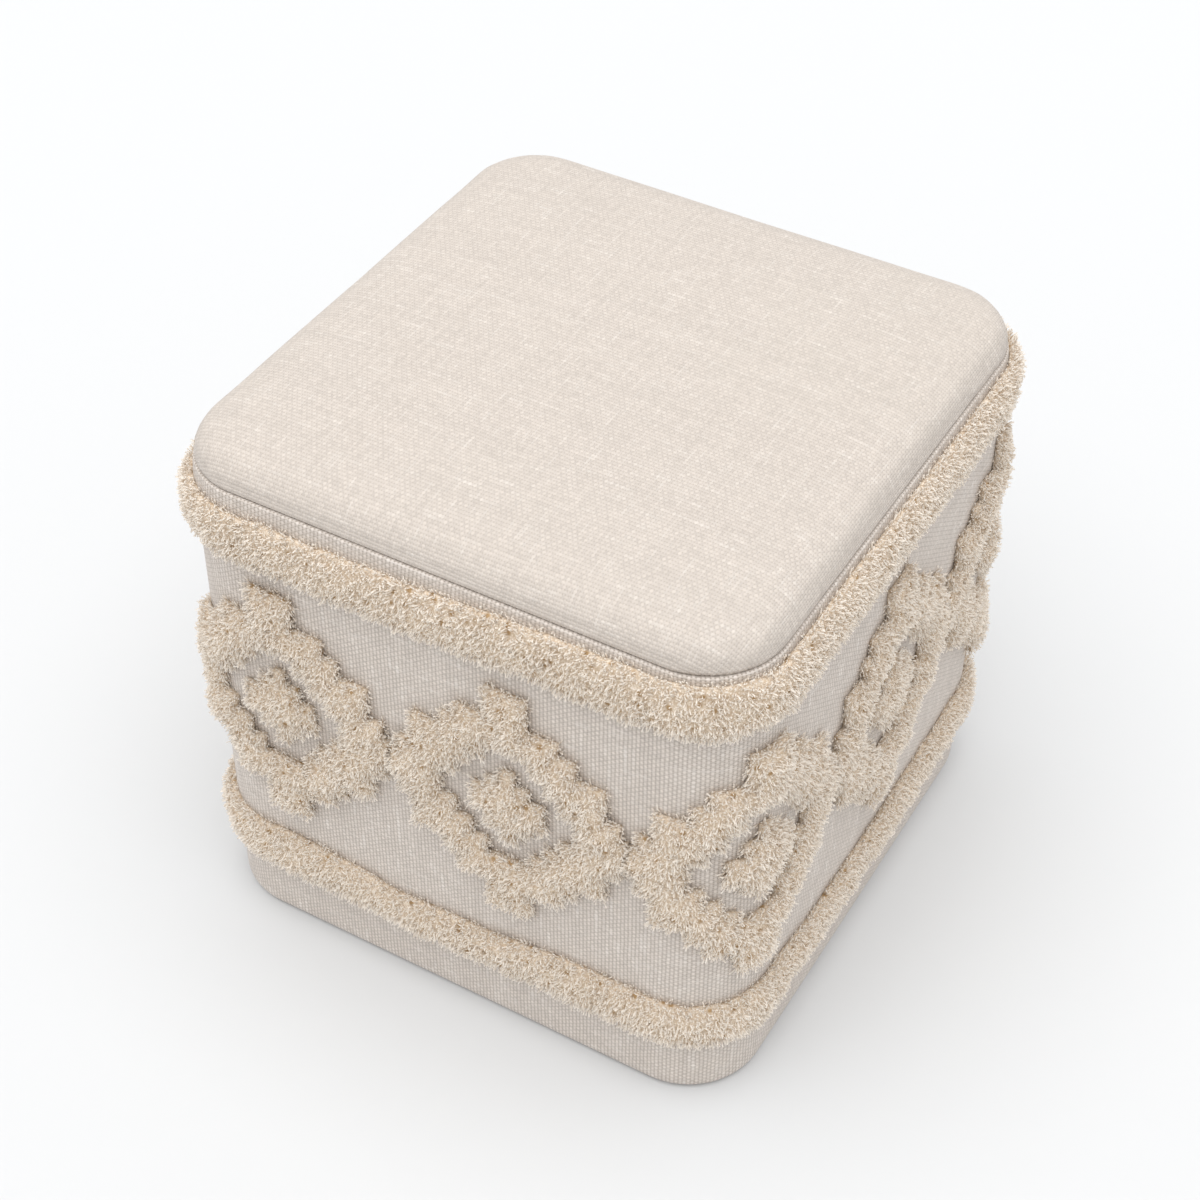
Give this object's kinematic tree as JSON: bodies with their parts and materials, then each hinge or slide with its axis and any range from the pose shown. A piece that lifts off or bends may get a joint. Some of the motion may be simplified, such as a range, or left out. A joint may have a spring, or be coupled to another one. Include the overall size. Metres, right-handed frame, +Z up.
{
  "type": "tufted cube pouf",
  "caption": "Cloth-covered cube pouf stool with a padded seat, bands of cut pile round top and bottom and a chain of stepped pile diamonds.",
  "frame": {"origin": "middle of the flat base, on the floor", "axes": "+Z up through the seat; -Y out of the front; +X towards the right side, seen from the front"},
  "size_m": [0.4333, 0.4396, 0.3998],
  "materials": {
    "side_cloth": "slub plain-weave cotton, matt",
    "seat_cloth": "slub plain-weave cotton, matt",
    "pile_yarn": "cut cotton yarn, soft and matt"
  },
  "bodies": {
    "root": {"body": "side_cloth", "seat_cushion": "seat_cloth", "upper_band": "pile_yarn", "lower_band": "pile_yarn", "diamond_1": "pile_yarn", "diamond_2": "pile_yarn", "diamond_3": "pile_yarn", "diamond_4": "pile_yarn", "diamond_5": "pile_yarn", "diamond_6": "pile_yarn", "diamond_7": "pile_yarn", "diamond_8": "pile_yarn", "diamond_9": "pile_yarn", "heart_1": "pile_yarn", "heart_2": "pile_yarn", "heart_3": "pile_yarn", "heart_4": "pile_yarn", "heart_5": "pile_yarn", "heart_6": "pile_yarn", "heart_7": "pile_yarn", "heart_8": "pile_yarn", "heart_9": "pile_yarn"}
  },
  "joints": []
}
